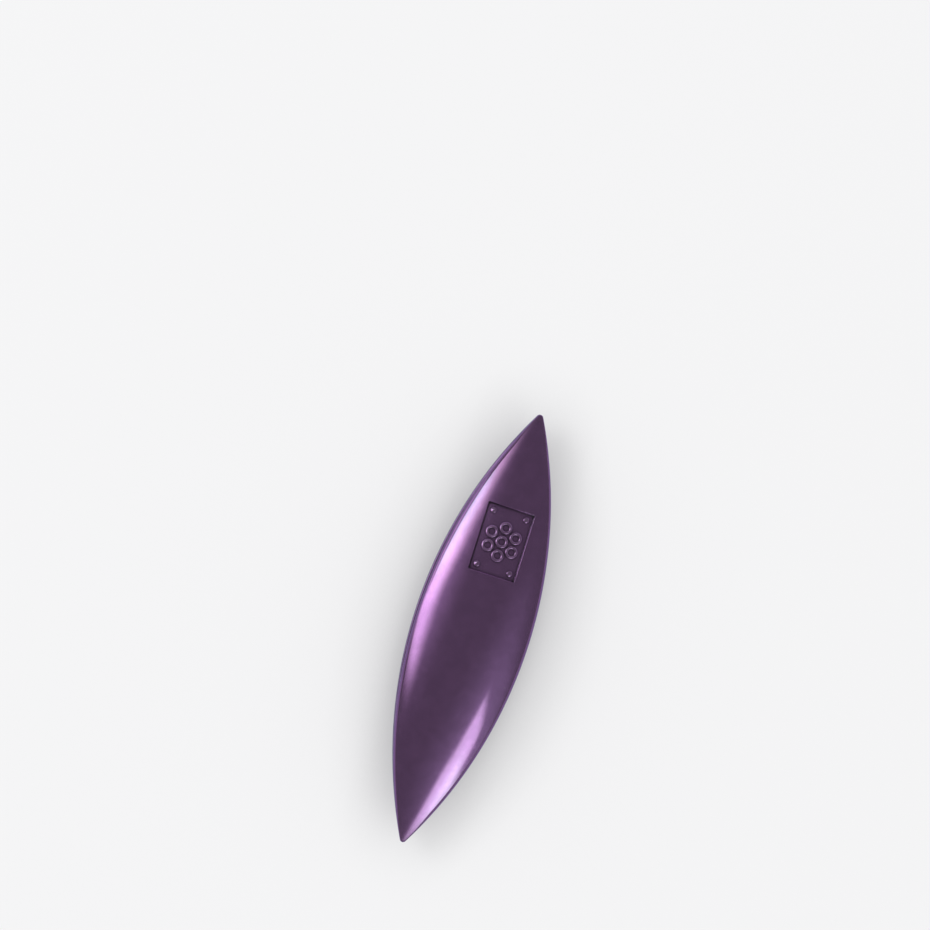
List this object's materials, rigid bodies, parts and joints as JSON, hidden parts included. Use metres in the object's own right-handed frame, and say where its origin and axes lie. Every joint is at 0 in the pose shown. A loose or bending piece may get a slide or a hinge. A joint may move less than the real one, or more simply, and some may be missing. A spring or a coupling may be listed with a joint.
{
  "type": "tatting shuttle",
  "caption": "Closed tatting shuttle: curved pointed blades meet at their tips round a post with a thread hole, with a sunk rosette panel on one blade.",
  "frame": {"origin": "centre of the post, on the axis of the thread hole, which is the centre of the whole shuttle", "axes": "+X along the length towards the tip that the sunk panel is near, +Y across the blades along the thread hole, +Z out through the blade with the panel"},
  "size_m": [0.063, 0.0162, 0.012],
  "materials": {
    "blade_plastic": "smooth metallic lilac moulded plastic",
    "post_plastic": "satin metallic lilac moulded plastic"
  },
  "bodies": {
    "root": {"upper_blade": "blade_plastic", "lower_blade": "blade_plastic", "centre_post": "post_plastic"}
  },
  "joints": []
}
